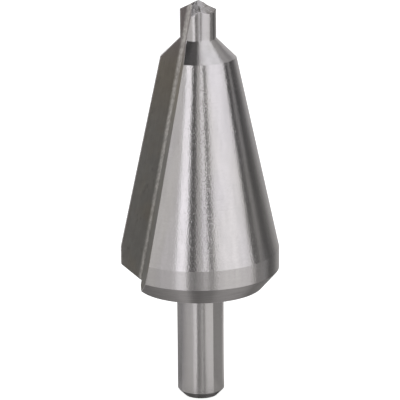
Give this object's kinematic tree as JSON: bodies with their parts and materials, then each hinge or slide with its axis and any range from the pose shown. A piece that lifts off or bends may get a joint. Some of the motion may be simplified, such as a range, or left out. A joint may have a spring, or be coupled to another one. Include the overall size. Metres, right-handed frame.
{
  "type": "conical sheet-metal drill",
  "caption": "Conical drill bit for opening and deburring holes in thin sheet: smooth tapered cutter with straight flutes, small two-lip pilot point and a round shank with flats.",
  "frame": {"origin": "centre of the flat end of the shank", "axes": "+Z along the axis of rotation, towards the drilling point; X along the two cutting edges"},
  "size_m": [0.0304, 0.0304, 0.0786],
  "materials": {
    "ground_steel": "turned and ground bare high-speed steel, fine circular grinding marks"
  },
  "bodies": {
    "root": {"cone_drill": "ground_steel"}
  },
  "joints": []
}
